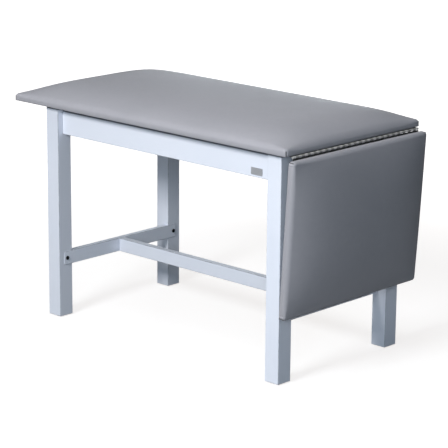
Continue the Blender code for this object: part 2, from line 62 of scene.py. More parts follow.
# ---------------------------------------------------------------- helpers
class Nodes:
    """Adds nodes to one tree; the methods that make a pattern or a sum return its output."""

    def __init__(self, tree):
        self.tree = tree

    def node(self, kind, **settings):
        made = self.tree.nodes.new(kind)
        for key, value in settings.items():
            setattr(made, key, value)
        return made

    def feed(self, socket, value):
        """Sets a socket to a number, a vector or a colour, or links an output to it."""
        if isinstance(value, bpy.types.NodeSocket):
            self.tree.links.new(value, socket)
        elif socket.type == "RGBA":
            socket.default_value = (*value, 1)
        else:
            socket.default_value = value

    def place(self, scale=(1, 1, 1)):
        """Object coordinates in metres, scaled."""
        mapping = self.node("ShaderNodeMapping")
        self.feed(mapping.inputs["Vector"], self.node("ShaderNodeTexCoord").outputs["Object"])
        self.feed(mapping.inputs["Scale"], scale)
        return mapping.outputs["Vector"]

    def axes(self):
        """Object coordinates in metres, as one output for each axis."""
        split = self.node("ShaderNodeSeparateXYZ")
        self.feed(split.inputs[0], self.place())
        return split.outputs

    def noise(self, scale, detail, roughness=0.5, distortion=0.0, where=None):
        made = self.node("ShaderNodeTexNoise")
        for key, value in (("Vector", where or self.place()), ("Scale", scale), ("Detail", detail),
                           ("Roughness", roughness), ("Distortion", distortion)):
            self.feed(made.inputs[key], value)
        return made.outputs["Fac"]

    def cells(self, scale):
        """Distance from the edges of irregular cells."""
        made = self.node("ShaderNodeTexVoronoi", feature="DISTANCE_TO_EDGE")
        self.feed(made.inputs["Vector"], self.place())
        self.feed(made.inputs["Scale"], scale)
        return made.outputs["Distance"]

    def math(self, operation, a, b=0.0):
        made = self.node("ShaderNodeMath", operation=operation)
        self.feed(made.inputs[0], a)
        self.feed(made.inputs[1], b)
        return made.outputs[0]

    def span(self, value, low, high, to_low=0.0, to_high=1.0, smooth=False):
        """Maps a value from one range to another, clamped."""
        made = self.node("ShaderNodeMapRange", interpolation_type="SMOOTHSTEP" if smooth else "LINEAR")
        for key, amount in (("Value", value), ("From Min", low), ("From Max", high),
                            ("To Min", to_low), ("To Max", to_high)):
            self.feed(made.inputs[key], amount)
        return made.outputs["Result"]

    def mix(self, factor, a, b):
        """Blends two colours."""
        made = self.node("ShaderNodeMix", data_type="RGBA")
        self.feed(made.inputs[0], factor)
        self.feed(made.inputs[6], a)
        self.feed(made.inputs[7], b)
        return made.outputs[2]

    def blend(self, factor, a, b):
        """Blends two shaders."""
        made = self.node("ShaderNodeMixShader")
        for socket, value in zip(made.inputs, (factor, a, b)):
            self.feed(socket, value)
        return made.outputs[0]

    def for_camera(self, hidden, shown):
        """One shader for the light in the scene, and another for what the camera sees directly."""
        return self.blend(self.node("ShaderNodeLightPath").outputs["Is Camera Ray"], hidden, shown)

    def bump(self, height, distance, strength, under=None):
        made = self.node("ShaderNodeBump")
        self.feed(made.inputs["Height"], height)
        self.feed(made.inputs["Distance"], distance)
        self.feed(made.inputs["Strength"], strength)
        if under is not None:
            self.feed(made.inputs["Normal"], under)
        return made.outputs["Normal"]


class Shader(Nodes):
    """One procedural material."""

    def __init__(self, name):
        self.material = bpy.data.materials.new(name)
        self.material.use_nodes = True
        super().__init__(self.material.node_tree)
        self.surface = self.tree.nodes["Principled BSDF"]

    def finish(self, **values):
        """Feeds the surface's inputs, and gives the material."""
        for key, value in values.items():
            self.feed(self.surface.inputs[key.replace("_", " ")], value)
        return self.material


def wear(piece, material):
    """Gives a piece one material."""
    piece.data.materials.clear()
    piece.data.materials.append(material)


def shade(colour, share):
    """A colour made darker or lighter."""
    return tuple(share * part for part in colour)


def as_object(name, shape):
    """Puts a finished bmesh into the scene as an object."""
    mesh = bpy.data.meshes.new(name)
    shape.to_mesh(mesh)
    shape.free()
    piece = bpy.data.objects.new(name, mesh)
    bpy.context.scene.collection.objects.link(piece)
    return piece


# ---------------------------------------------------------------- materials
# Colours are linear. A pair is the two ends of a slow cloudiness.
VINYL_COLOURS = (0.338, 0.336, 0.370), (0.356, 0.351, 0.386)
VINYL_FLECK = (0.310, 0.311, 0.346)
LAMINATE_COLOURS = (0.752, 0.788, 0.882), (0.728, 0.768, 0.868)
SEAM_COLOUR = (0.20, 0.22, 0.26)
SEAM_FADE = (0.0008, 0.0016)          # from the arris, where the dark seam begins and ends to fade
# painted shadow: a dark strip along the top of the legs, aprons and end rails, standing for the shade
# under the top board's overhang
PAINTED_SHADOW_COLOUR = (0.035, 0.045, 0.065)
PAINTED_SHADOW_STRENGTH = 0.93
PAINTED_SHADOW_FADE = 0.0012                  # to either side of the strip's lower edge
PAINTED_SHADOW_HEIGHTS = {"leg_": 0.0125, "apron_": 0.0198, "end_rail_": 0.0198}    # height of the dark strip
# painted shade: the hinge plates' dark colours stand for the shade in the gaps beside the knuckles
HINGE_PLATE_SHADE = (0.045, 0.043, 0.042), (0.085, 0.082, 0.078)
KNUCKLE_EDGE = (0.0033, 0.0038)       # from the pin's axis, where a knuckle ends and its plate begins
GRAIN_SCALE = 38.0
BOARD_GREY = (0.085, 0.088, 0.092), (0.125, 0.128, 0.132)
HARDWOOD = (0.36, 0.24, 0.13), (0.56, 0.41, 0.25)
# painted light and shade: these parts' laminate is made lighter or darker for how the light falls on each;
# the others are as they are
LAMINATE_PAINTED_LIGHT = {"leg_front_left": 0.93, "leg_rear_left": 0.98, "leg_front_right": 0.99,
                  "leg_rear_right": 1.06, "stretcher": 0.95}
LAMINATED = ("leg_", "apron_", "end_rail_", "cross_brace_", "stretcher")


def vinyl():
    """Grey upholstery vinyl: fine leather grain, satin gloss, faint cloudiness."""
    look = Shader("grey_vinyl")
    cloud = look.noise(3.5, 3.0, 0.55)
    fine = look.noise(60.0, 3.0, 0.6)
    base = look.mix(look.span(cloud, 0.35, 0.65), *VINYL_COLOURS)
    colour = look.mix(look.span(fine, 0.3, 0.7, 0.0, 0.35), base, VINYL_FLECK)
    grain = look.span(look.cells(900.0), 0.0, 0.25, smooth=True)
    pores = look.noise(2600.0, 1.0)
    height = look.math("ADD", grain, look.math("MULTIPLY", pores, 0.3))
    normal = look.bump(height, 0.00012, 0.55)
    normal = look.bump(look.noise(28.0, 2.0), 0.0006, 0.25, under=normal)
    rough = look.span(look.noise(9.0, 4.0, 0.6), 0.3, 0.7, 0.46, 0.54)
    return look.finish(Base_Color=colour, Roughness=rough, Normal=normal, Sheen_Weight=0.12,
                       Sheen_Roughness=0.45, Specular_IOR_Level=0.42)


def edge_distance(look, low, high):
    """Distance from a box's nearest arris, from object coordinates."""
    where = look.axes()
    near = []
    for axis in range(3):
        centre = (low[axis] + high[axis]) / 2
        half = (high[axis] - low[axis]) / 2
        away = look.math("ABSOLUTE", look.math("SUBTRACT", where[axis], centre))
        near.append(look.math("SUBTRACT", half, away))
    smallest = look.math("MINIMUM", look.math("MINIMUM", near[0], near[1]), near[2])
    total = look.math("ADD", look.math("ADD", near[0], near[1]), near[2])
    largest = look.math("MAXIMUM", look.math("MAXIMUM", near[0], near[1]), near[2])
    return look.math("SUBTRACT", look.math("SUBTRACT", total, smallest), largest)


def laminate(name, low, high, painted_light_share, painted_shadow_height):
    """Pale blue-white high-pressure laminate: fine stipple, and a seam along every arris.

    low and high are the timber's box. The fourth argument is a share that makes the laminate lighter or
    darker, painted light and shade for how the light falls on that part. The last is the height of a dark
    strip of painted shadow along its upper edge, standing for the shade under the top board, or 0.
    """
    look = Shader(name)
    cloud = look.noise(4.0, 3.0, 0.6)
    # the laminate's colours, made lighter or darker as painted light and shade
    base = look.mix(look.span(cloud, 0.35, 0.65), *(shade(colour, painted_light_share) for colour in LAMINATE_COLOURS))
    seam = look.span(edge_distance(look, low, high), *SEAM_FADE, 1.0, 0.0, smooth=True)
    rub = look.math("MULTIPLY", seam, look.span(look.noise(35.0, 3.0, 0.6), 0.42, 0.62, 0.6, 0.95))
    colour = look.mix(rub, base, SEAM_COLOUR)
    # painted shadow: a dark strip along the upper edge, standing for the shade under the top board
    if painted_shadow_height:
        edge = high[2] - painted_shadow_height
        strip = look.span(look.axes()[2], edge - PAINTED_SHADOW_FADE, edge + PAINTED_SHADOW_FADE,
                          0.0, PAINTED_SHADOW_STRENGTH, smooth=True)
        colour = look.mix(strip, colour, PAINTED_SHADOW_COLOUR)
    stipple = look.noise(1700.0, 2.0, 0.6)
    normal = look.bump(stipple, 0.00005, 0.5)
    rough = look.span(look.noise(14.0, 4.0, 0.6), 0.3, 0.7, 0.36, 0.46)
    return look.finish(Base_Color=colour, Roughness=rough, Normal=normal, Specular_IOR_Level=0.45)


def wood(name, stretch, dark, light):
    """Plain timber: long grain streaks with rings across, dull finish."""
    look = Shader(name)
    along = look.place(stretch)
    bend = look.noise(3.0, 3.0, 0.6, where=along)
    grain = look.noise(GRAIN_SCALE, 5.0, 0.65, 1.2, where=along)
    base = look.mix(look.span(grain, 0.32, 0.68), dark, light)
    colour = look.mix(look.span(bend, 0.3, 0.7, 0.0, 0.35), base, shade(dark, 0.8))
    normal = look.bump(grain, 0.0003, 0.4)
    return look.finish(Base_Color=colour, Roughness=look.span(grain, 0.3, 0.7, 0.58, 0.75), Normal=normal)


def steel(name, light, dark, rough, streak=(1, 60, 60)):
    """Plated steel with faint drawing lines and dulled patches."""
    look = Shader(name)
    lines = look.noise(40.0, 3.0, 0.6, where=look.place(streak))
    patch = look.noise(22.0, 4.0, 0.6)
    colour = look.mix(look.span(patch, 0.35, 0.7), light, dark)
    gloss = look.math("ADD", look.span(lines, 0.3, 0.7, *rough), look.span(patch, 0.4, 0.7, 0.0, 0.08))
    normal = look.bump(lines, 0.00004, 0.5)
    return look.finish(Base_Color=colour, Metallic=1.0, Roughness=gloss, Normal=normal)


def hinge_steel(name, knuckle):
    """Piano-hinge strip: bright knuckles round the pin, and the flat plates painted dark as painted shade
    for the gaps beside the knuckles.
    """
    look = Shader(name)
    where = look.axes()
    off_x = look.math("SUBTRACT", where[0], PIN.x)
    off_z = look.math("SUBTRACT", where[2], PIN.z)
    reach = look.math("ADD", look.math("MULTIPLY", off_x, off_x), look.math("MULTIPLY", off_z, off_z))
    plate = look.span(look.math("SQRT", reach), *KNUCKLE_EDGE, smooth=True)
    lines = look.noise(40.0, 3.0, 0.6, where=look.place((60, 1, 60)))
    patch = look.noise(45.0, 4.0, 0.6)
    bright = look.mix(look.span(patch, 0.4, 0.7), knuckle, shade(knuckle, 0.7))
    # painted shade: the plates are dark, standing for the shade in the gaps beside the knuckles
    dull = look.mix(look.span(patch, 0.35, 0.65), *HINGE_PLATE_SHADE)
    colour = look.mix(plate, bright, dull)
    gloss = look.math("ADD", look.span(lines, 0.3, 0.7, 0.16, 0.26), look.math("MULTIPLY", plate, 0.3))
    metal = look.span(plate, 0.0, 1.0, 0.45, 0.6)
    normal = look.bump(lines, 0.00004, 0.5)
    return look.finish(Base_Color=colour, Metallic=metal, Roughness=gloss, Normal=normal)


def plain(name, colour, spread, rough, metallic=0.0):
    """A moulded or painted finish with fine speckle."""
    look = Shader(name)
    speckle = look.noise(900.0, 3.0, 0.6)
    base = look.mix(look.span(speckle, 0.35, 0.65), colour, shade(colour, spread))
    normal = look.bump(speckle, 0.00006, 0.4)
    gloss = look.span(look.noise(30.0, 3.0), 0.3, 0.7, rough - 0.04, rough + 0.05)
    return look.finish(Base_Color=base, Metallic=metallic, Roughness=gloss, Normal=normal)


def dress_frame():
    """Gives every hard CAD node its finish, by the part of its name that says what it is."""
    finishes = {
        "corner_block": wood("block_hardwood", (8, 1, 8), *HARDWOOD),
        "panel": wood("panel_board", (1, 9, 9), *BOARD_GREY),
        "hinge_plate_top": hinge_steel("hinge_steel_top", (0.97, 0.95, 0.92)),
        # painted shade: the leaf plate's knuckles are a darker copy of the top plate's, for the shade on
        # every other knuckle
        "hinge_plate_leaf": hinge_steel("hinge_steel_leaf_painted_shade", (0.48, 0.46, 0.44)),
        "hinge_pin": steel("hinge_pin_steel", (0.60, 0.59, 0.57), (0.45, 0.44, 0.42), (0.2, 0.3),
                           streak=(60, 1, 60)),
        "stay": steel("zinc_plated_steel", (0.74, 0.76, 0.78), (0.58, 0.60, 0.63), (0.28, 0.42)),
        "screw": steel("zinc_screw_steel", (0.74, 0.75, 0.76), (0.55, 0.56, 0.58), (0.26, 0.38)),
        "corner_bolt": steel("zinc_bolt_steel", (0.72, 0.73, 0.74), (0.55, 0.56, 0.58), (0.28, 0.4)),
        "brace_bolt": plain("black_bolt_steel", (0.022, 0.022, 0.026), 0.6, 0.42, 1.0),
        "glide": plain("glide_nylon", (0.055, 0.055, 0.06), 0.7, 0.55),
        "badge": plain("badge_plate", (0.62, 0.63, 0.67), 0.92, 0.34, 0.6),
    }
    for name, piece in NODES.items():
        if name.startswith(LAMINATED) and "screw" not in name:
            low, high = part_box(name)
            # painted light and shade: a lighter or darker copy of the laminate for some parts
            painted_light_share = next((value for key, value in LAMINATE_PAINTED_LIGHT.items() if key in name), 1.0)
            # height of the painted shadow strip under the top board, for legs, aprons and end rails
            painted_shadow_height = next((value for key, value in PAINTED_SHADOW_HEIGHTS.items() if name.startswith(key)), 0.0)
            wear(piece, laminate(f"laminate_{name}", low, high, painted_light_share, painted_shadow_height))
            continue
        for key, finish in finishes.items():
            if key in name:
                wear(piece, finish)
                break


# ---------------------------------------------------------------- padded covers
COVER_SINK = 0.0006           # kept inside the padding's own box
EDGE_HEIGHT = 0.021           # padded thickness at the edges, board included
CROWN_RUN = 0.300             # distance over which the crown rises from an edge
CROWN_FULLNESS = 4.2          # a higher power rises faster at the edge
HINGE_FULLNESS = 6.5          # the top's crown falls more steeply at its hinge end
TOP_ROLL = (0.017, 0.0105)    # how far in, and how far down, the face turns into the side
LEAF_ROLL = (0.011, 0.0085)   # tighter on the leaf
CORNER_ROLL = (0.0085, 0.0085)    # tightest, where the vinyl is pulled over a corner
CORNER_PULL = (0.008, 0.075)  # from a corner, where that pull begins and ends to fade
ROLL_STEPS = 12               # rows of points round that roll
PLAN_CORNER = 0.012           # radius of the corners seen from above
SIDE_LEVELS = (0.35, 0.7, 1.0)    # rows of points down the side, as shares of its height
SIDE_LEAST = 0.0005           # the least height of the side above the lower roll
LOWER_ROLL = 0.0060           # radius where the side turns under
HINGE_LOWER_ROLL = 0.0062     # the same at the end beside the hinge
LOWER_ROLL_REACH = 0.6        # how far it turns under, as a share of that radius
LOWER_ROLL_STEPS = 8
UNDER_EDGE = 0.0019           # the furthest that it turns under, to stay off the board's pocket
BOARD_EDGE = 0.0027           # from the side to that pocket
POCKET_DEPTH = 0.0163
COARSE = 0.010                # spacing of the cover's points away from its edges
MARK_GAP = 0.0003             # a crease's own row of points is left out this close to another
WELD = 0.00002                # points of the pocket closer than this become one
SHARP_ANGLE = radians(55)     # a steeper edge is drawn sharp
PLEAT_PLACE = 0.0135          # from a corner, along the long sides
PLEAT_WIDTH = 0.0012
PLEAT_DEPTH = 0.0009
PLEAT_REACH = 3 * PLEAT_PLACE    # from a corner, past which the pleat is nothing
PLEAT_BAND = 0.012            # the pleat stays this close to the side
PLEAT_FADE = (0.012, 0.024)   # heights between which it fades
LIP_DEPTH = 0.6 * PLEAT_DEPTH
LIP_PLACE = PLEAT_PLACE - 0.0045
LIP_WIDTH = 0.003
PRESS_GRID = 0.028            # mesh of the foam's cloth run
PRESS_FRAMES = 20
FOAM = {"quality": 5, "mass": 0.3, "tension_stiffness": 15, "compression_stiffness": 15,
        "bending_stiffness": 2, "tension_damping": 15, "compression_damping": 15, "air_damping": 5,
        "use_pressure": True, "uniform_pressure_force": 4}
SWELL = 0.005                 # the most that the pressed foam may push the face out
HEM_WIDTH, HEM_THICKNESS, HEM_STEP = 0.015, 0.0008, 0.010
HEM_WAVER = ((0.0006, 5.1), (0.0004, 2.3))    # sizes and rates of two waves along its cut edge
HEM_SHIFT = 9                 # of the first wave, for each metre that the hem starts further right
HEM_OVERLAP = 0.0005          # of the hem, under the side
HEM_GAP = 0.0015              # between two hems at a corner
HINGE_CLEAR = 0.008           # the hems stop this far from the hinge end
STAPLE_PITCH = 0.045
STAPLE_SIZE = (0.0105, 0.0011, 0.0006)
STAPLE_DROP = 0.00015         # of a staple's middle, below the vinyl that it holds
STAPLE_ROW = 0.55             # how far across the hem the staples stand, as a share of its width
STAPLE_SCATTER = (0.001, 7.7)    # size and rate of their wander across the row
STAPLE_TILT = (0.12, 3.9)     # size and rate of their turn, in radians


def spaced(length, roll, extra=()):
    """Positions across a length: even in the middle, and closer and closer round the roll at each end."""
    half = length / 2
    gaps = [roll[0] * (1 - sin(pi / 2 * k / ROLL_STEPS)) for k in range(ROLL_STEPS + 1)]
    gaps += [gap for gap in extra if min(abs(gap - other) for other in gaps) > MARK_GAP]
    band = max(roll[0], max(extra, default=0.0)) + COARSE / 2
    count = max(1, round((half - band) / COARSE))
    marks = [(half - band) * i / count for i in range(count + 1)]
    marks += sorted(half - gap for gap in gaps)
    return [-mark for mark in reversed(marks[1:])] + marks


def smooth(value, low, high):
    """0 below low, 1 above high, and an even curve between them."""
    share = min(1.0, max(0.0, (value - low) / (high - low)))
    return share * share * (3 - 2 * share)


def ramp(distance, fullness=CROWN_FULLNESS):
    """How far the crown has risen at a distance from an edge."""
    return 1 - max(0.0, 1 - max(0.0, distance) / CROWN_RUN) ** fullness


def onto_rounded_corner(x, y, half_x, half_y):
    """Moves a point of a corner's square onto a quarter disc, so that the outline is rounded."""
    radius = PLAN_CORNER
    a, b = (abs(x) - half_x + radius) / radius, (abs(y) - half_y + radius) / radius
    if a <= 0 or b <= 0:
        return x, y
    reach = max(a, b)
    angle = pi / 4 * (b / a) if a >= b else pi / 2 - pi / 4 * (a / b)
    new_x = half_x - radius + radius * reach * cos(angle)
    new_y = half_y - radius + radius * reach * sin(angle)
    return (new_x if x > 0 else -new_x), (new_y if y > 0 else -new_y)


def from_outline(x, y, half_x, half_y):
    """Distance of a point from the rounded outline, inwards, and the way out."""
    a, b = abs(x) - half_x + PLAN_CORNER, abs(y) - half_y + PLAN_CORNER
    sign_x, sign_y = (1 if x > 0 else -1), (1 if y > 0 else -1)
    if a > 0 and b > 0:
        reach = sqrt(a * a + b * b)
        return PLAN_CORNER - reach, Vector((sign_x * a / reach, sign_y * b / reach, 0))
    if a > b:
        return half_x - abs(x), Vector((sign_x, 0, 0))
    return half_y - abs(y), Vector((0, sign_y, 0))


def face_height(x, y, half_x, half_y, rise, roll, hinge_end):
    """Height of the padded face, with the roll at its edge."""
    gap_x, gap_y = half_x - abs(x), half_y - abs(y)
    fullness = HINGE_FULLNESS if x > 0 and hinge_end > 0 else CROWN_FULLNESS
    height = EDGE_HEIGHT + rise * ramp(gap_x, fullness) * ramp(gap_y)
    inward = max(0.0, from_outline(x, y, half_x, half_y)[0])
    along = smooth(max(gap_x, gap_y), *CORNER_PULL)
    across, down = (tight + (wide - tight) * along for tight, wide in zip(CORNER_ROLL, roll))
    if inward < across:
        short = 1 - inward / across
        height -= down * (1 - sqrt(1 - short * short))
    return height


def through(values, share):
    """A smooth (Catmull-Rom) curve through four evenly spaced values, between the second and the third."""
    a, b, c, d = values
    return b + share / 2 * (c - a + share * (2 * a - 5 * b + 4 * c - d + share * (3 * (b - c) + d - a)))


def foam_press(name, half_x, half_y, rise):
    """Cloth run of a coarse closed pad under pressure, its rim and base held.

    Returns a function that gives how far the foam pushes the face out at a point, up to SWELL.
    """
    count_x, count_y = round(2 * half_x / PRESS_GRID), round(2 * half_y / PRESS_GRID)
    shape = bmesh.new()
    layers = []
    for lifted in (1, 0):
        layer = []
        for i in range(count_x + 1):
            for j in range(count_y + 1):
                x, y = half_x * (2 * i / count_x - 1), half_y * (2 * j / count_y - 1)
                height = EDGE_HEIGHT + rise * ramp(half_x - abs(x)) * ramp(half_y - abs(y))
                layer.append(shape.verts.new((x, y, height * lifted)))
        layers.append(layer)
    face, base = layers
    row = count_y + 1
    for i in range(count_x):
        for j in range(count_y):
            ring = [i * row + j, (i + 1) * row + j, (i + 1) * row + j + 1, i * row + j + 1]
            shape.faces.new([face[k] for k in ring])
            shape.faces.new([base[k] for k in reversed(ring)])
    around = [i * row for i in range(count_x)] + [count_x * row + j for j in range(count_y)]
    around += [i * row + count_y for i in range(count_x, 0, -1)] + list(range(count_y, 0, -1))
    bridge(shape, [base[k] for k in around], [face[k] for k in around])
    pad = as_object(name, shape)
    held = pad.vertex_groups.new(name="held")
    held.add(around + list(range(len(face), 2 * len(face))), 1.0, "REPLACE")
    foam = pad.modifiers.new("foam", "CLOTH")
    for key, value in FOAM.items():
        setattr(foam.settings, key, value)
    foam.settings.effector_weights.gravity = 0
    foam.settings.vertex_group_mass = "held"
    foam.collision_settings.use_collision = False
    for step in range(1, PRESS_FRAMES + 1):
        bpy.context.scene.frame_set(step)
    blown = pad.evaluated_get(bpy.context.evaluated_depsgraph_get()).data.vertices
    push = [max(0.0, blown[k].co.z - pad.data.vertices[k].co.z) for k in range(len(face))]
    share = min(1.0, SWELL / max(0.0001, max(push)))
    bpy.data.objects.remove(pad)
    bpy.context.scene.frame_set(1)

    def push_at(x, y):
        a = (x / half_x + 1) / 2 * count_x
        b = (y / half_y + 1) / 2 * count_y
        i, j = min(int(a), count_x - 1), min(int(b), count_y - 1)
        lines = []
        for k in range(i - 1, i + 3):
            start = min(count_x, max(0, k)) * row
            values = [push[start + min(count_y, max(0, m))] for m in range(j - 1, j + 3)]
            lines.append(through(values, b - j))
        return share * max(0.0, through(lines, a - i))

    return push_at


def pleat(point, half_x, half_y):
    """The folded vinyl at a corner: a crease down the long side, and the lip beside it."""
    along = half_x - abs(point.x)
    if half_y - abs(point.y) > PLEAT_BAND or along > PLEAT_REACH:
        return Vector((0, 0, 0))
    crease = -PLEAT_DEPTH * exp(-((along - PLEAT_PLACE) / PLEAT_WIDTH) ** 2)
    lip = LIP_DEPTH * exp(-((along - LIP_PLACE) / LIP_WIDTH) ** 2)
    fade = 1 - smooth(point.z, *PLEAT_FADE)
    return from_outline(point.x, point.y, half_x, half_y)[1] * (crease + lip) * fade


def bridge(shape, lower, upper):
    """Faces between two rings of the same number of points."""
    count = len(lower)
    for k in range(count):
        following = (k + 1) % count
        shape.faces.new((lower[k], upper[k], upper[following], lower[following]))


def cover(name, length, width, crown_height, roll, hinge_end):
    """One padded cover on its own axes: origin at the middle of its underside, face up.

    hinge_end is 1 when the hinge is at the +X end, and -1 when it is at the -X end.
    """
    half_x, half_y = length / 2 - COVER_SINK, width / 2 - COVER_SINK
    creases = [PLEAT_PLACE + step * PLEAT_WIDTH / 2 for step in (-2, -1, 0, 1, 2)]
    marks_x, marks_y = spaced(2 * half_x, roll, creases), spaced(2 * half_y, roll)
    rise = crown_height - EDGE_HEIGHT - COVER_SINK
    push_at = foam_press(name + "_pad", half_x, half_y, rise)
    shape = bmesh.new()
    grid = []
    for x in marks_x:
        column = []
        for y in marks_y:
            px, py = onto_rounded_corner(x, y, half_x, half_y)
            height = face_height(px, py, half_x, half_y, rise, roll, hinge_end) + push_at(px, py)
            column.append(shape.verts.new((px, py, height)))
        grid.append(column)
    last_x, last_y = len(marks_x) - 1, len(marks_y) - 1
    for i in range(last_x):
        for j in range(last_y):
            shape.faces.new((grid[i][j], grid[i + 1][j], grid[i + 1][j + 1], grid[i][j + 1]))
    rim = [grid[i][0] for i in range(last_x)] + [grid[last_x][j] for j in range(last_y)]
    rim += [grid[i][last_y] for i in range(last_x, 0, -1)] + [grid[0][j] for j in range(last_y, 0, -1)]
    outward = [from_outline(vert.co.x, vert.co.y, half_x, half_y)[1] for vert in rim]
    extra = HINGE_LOWER_ROLL - LOWER_ROLL
    facing_hinge = [max(0.0, out.x * hinge_end) ** 4 for out in outward]    # 1 at that end, 0 on the sides
    radii = [LOWER_ROLL + extra * share for share in facing_hinge]

    def ring(place):
        """A ring of points under the rim; place gives each one's inset and height."""
        made = []
        for vert, out, radius in zip(rim, outward, radii):
            inset, level = place(vert.co.z, min(radius, vert.co.z - SIDE_LEAST))
            point = vert.co - out * inset
            made.append(shape.verts.new((point.x, point.y, level)))
        return made

    rings = [rim]
    for share in SIDE_LEVELS:
        rings.append(ring(lambda top, radius, share=share: (0.0, top + (radius - top) * share)))
    for step in range(1, LOWER_ROLL_STEPS + 1):
        turned = pi / 2 * step / LOWER_ROLL_STEPS
        inward, down = 1 - cos(turned), 1 - sin(turned)
        rings.append(ring(lambda top, radius, a=inward, b=down:
                          (min(LOWER_ROLL_REACH * radius, UNDER_EDGE) * a, radius * b)))
    edge_x, edge_y = length / 2 - BOARD_EDGE, width / 2 - BOARD_EDGE
    for level in (0.0, POCKET_DEPTH):
        pocket = []
        for vert in rim:
            x = max(-edge_x, min(vert.co.x, edge_x))
            y = max(-edge_y, min(vert.co.y, edge_y))
            pocket.append(shape.verts.new((x, y, level)))
        rings.append(pocket)
    for lower, upper in zip(rings, rings[1:]):
        bridge(shape, lower, upper)
    shape.faces.new(rings[-1])
    within = 0.0001           # the pocket's points lie on these bounds
    for vert in shape.verts:
        over_board = abs(vert.co.x) < edge_x + within and abs(vert.co.y) < edge_y + within
        if not (over_board and vert.co.z < EDGE_HEIGHT / 2):
            vert.co += pleat(vert.co, half_x, half_y)
    bmesh.ops.remove_doubles(shape, verts=rings[-1] + rings[-2], dist=WELD)
    bmesh.ops.recalc_face_normals(shape, faces=shape.faces)
    piece = as_object(name, shape)
    piece.data.shade_smooth()
    piece.data.set_sharp_from_angle(angle=SHARP_ANGLE)
    return piece


def hem_run(hem, staples, start, end, inward, level):
    """A strip of vinyl turned under one edge, cut a little unevenly, with staples along it."""
    along = end - start
    count = round(along.length / HEM_STEP)
    (wide, wide_rate), (small, small_rate) = HEM_WAVER
    outer, inner = [], []
    for k in range(count + 1):
        point = start + along * (k / count)
        waver = wide * sin(wide_rate * k + start.x * HEM_SHIFT) + small * sin(small_rate * k)
        outer.append(point)
        inner.append(point + inward * (HEM_WIDTH + waver))
    loops = []
    for height in (level, level - HEM_THICKNESS):
        loops.append([hem.verts.new((p.x, p.y, height)) for p in outer + inner[::-1]])
    bridge(hem, *loops)
    last = 2 * count + 1
    for k in range(count):
        for loop in loops:
            hem.faces.new((loop[k], loop[k + 1], loop[last - k - 1], loop[last - k]))
    turn = along.to_track_quat("X", "Z").to_matrix().to_4x4()
    (scatter, scatter_rate), (tilt_size, tilt_rate) = STAPLE_SCATTER, STAPLE_TILT
    for k in range(round(along.length / STAPLE_PITCH)):
        place = start + along * ((k + 0.5) * STAPLE_PITCH / along.length)
        place = place + inward * (HEM_WIDTH * STAPLE_ROW + scatter * sin(scatter_rate * k))
        place.z = level - HEM_THICKNESS - STAPLE_DROP
        tilt = Matrix.Rotation(tilt_size * sin(tilt_rate * k), 4, "Z")
        shape = Matrix.Diagonal((*STAPLE_SIZE, 1))
        bmesh.ops.create_cube(staples, size=1, matrix=Matrix.Translation(place) @ tilt @ turn @ shape)


def make_hem(name, body, axes, low, high, hinge_end, finish, steel_finish):
    """The vinyl turned under a board and stapled, on the three sides away from the hinge."""
    inset = BOARD_EDGE - HEM_OVERLAP
    far = (low.x + inset) if hinge_end > 0 else (high.x - inset)
    near = (high.x - HINGE_CLEAR) if hinge_end > 0 else (low.x + HINGE_CLEAR)
    front, rear = low.y + inset, high.y - inset
    hem, staples = bmesh.new(), bmesh.new()
    short = HEM_WIDTH + HEM_GAP
    runs = (((far, front), (near, front), (0, 1)),
            ((far, rear), (near, rear), (0, -1)),
            ((far, front + short), (far, rear - short), (hinge_end, 0)))
    for run in runs:
        hem_run(hem, staples, *(Vector((*flat, 0)) for flat in run), low.z)
    for part, shape, look, material in (("hem", hem, finish, "vinyl"),
                                        ("staples", staples, steel_finish, "zinc_steel")):
        bmesh.ops.recalc_face_normals(shape, faces=shape.faces)
        piece = as_object(f"{name}_{part}", shape)
        piece.matrix_world = axes
        wear(piece, look)
        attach(piece, body)


def make_cover(name, node, body, axes, roll, hinge_end, finish):
    """A cover in the place of a CAD cushion, whose own axes are given."""
    points = [axes.inverted() @ vert.co for vert in NODES[node].data.vertices]
    low = Vector([min(point[axis] for point in points) for axis in range(3)])
    high = Vector([max(point[axis] for point in points) for axis in range(3)])
    size = high - low
    piece = cover(name, size.x, size.y, size.z, roll, hinge_end)
    piece.matrix_world = axes @ Matrix.Translation(((low.x + high.x) / 2, (low.y + high.y) / 2, low.z))
    wear(piece, finish)
    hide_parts(node)
    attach(piece, body)
    return low, high


def make_covers():
    """The top's and the leaf's vinyl covers, where their CAD solids are, and their stapled hems."""
    finish = vinyl()
    staple = steel("staple_steel", (0.74, 0.75, 0.76), (0.60, 0.61, 0.62), (0.3, 0.4), (60, 60, 60))
    covers = (("top_cover", "top_cushion", "frame", Matrix.Identity(4), TOP_ROLL, 1),
              ("leaf_cover", "leaf_cushion", "leaf", LEAF_AXES, LEAF_ROLL, -1))
    for name, node, body, axes, roll, hinge_end in covers:
        low, high = make_cover(name, node, body, axes, roll, hinge_end, finish)
        make_hem(name, body, axes, low, high, hinge_end, finish, staple)


